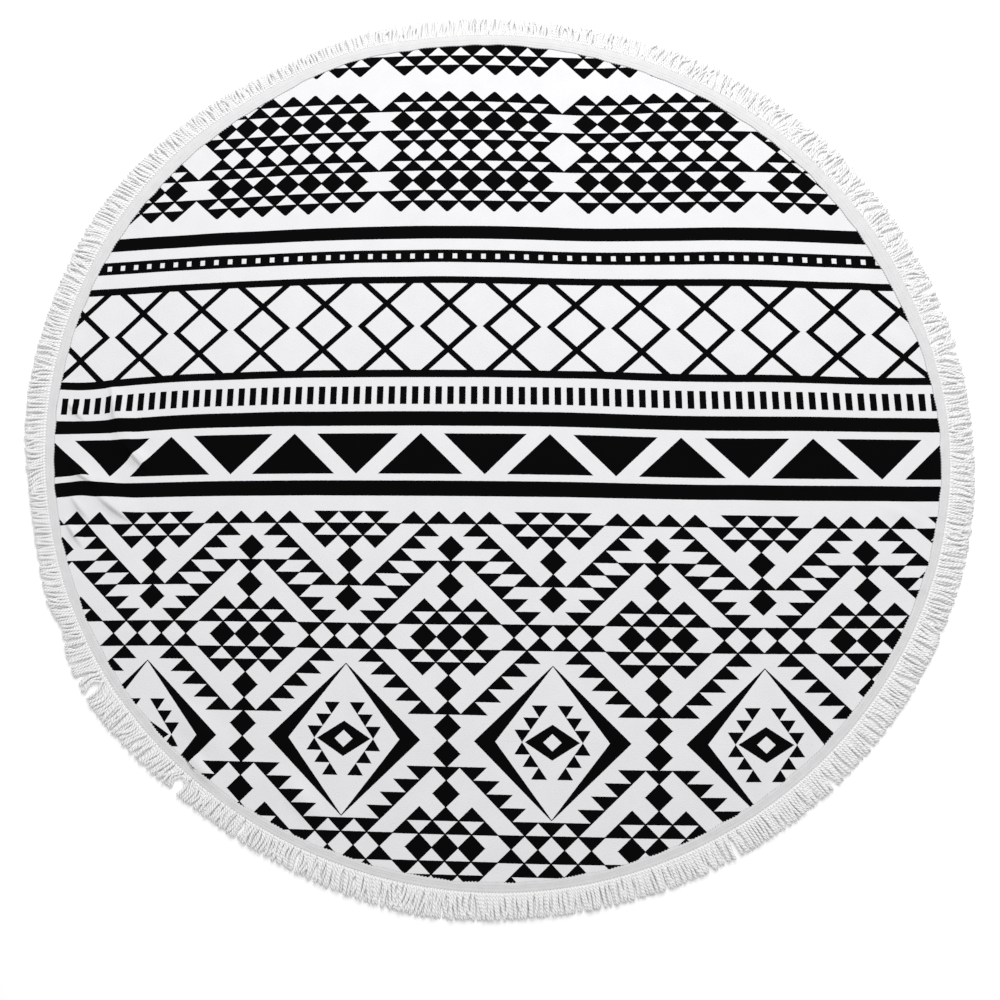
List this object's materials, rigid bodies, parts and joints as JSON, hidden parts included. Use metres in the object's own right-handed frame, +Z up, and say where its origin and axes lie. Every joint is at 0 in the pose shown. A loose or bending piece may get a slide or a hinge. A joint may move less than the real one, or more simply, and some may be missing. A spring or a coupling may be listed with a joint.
{
  "type": "round beach towel",
  "caption": "Large round beach towel lying flat: a thin terry disc with a few soft creases, a woven heading tape sewn round its rim, and a fringe of twisted cords.",
  "frame": {"origin": "the middle of the towel's footprint, on the surface that it lies on", "axes": "+Z up out of the printed face, +Y towards the top of the print as the picture shows it, +X to its right"},
  "size_m": [1.5019, 1.506, 0.007],
  "materials": {
    "printed_terry": "cotton terry, white with a black geometric print on its face",
    "fringe_cord": "twisted white cotton cord and woven heading tape"
  },
  "bodies": {
    "root": {"towel_cloth": "printed_terry", "fringe_trim": "fringe_cord"}
  },
  "joints": []
}
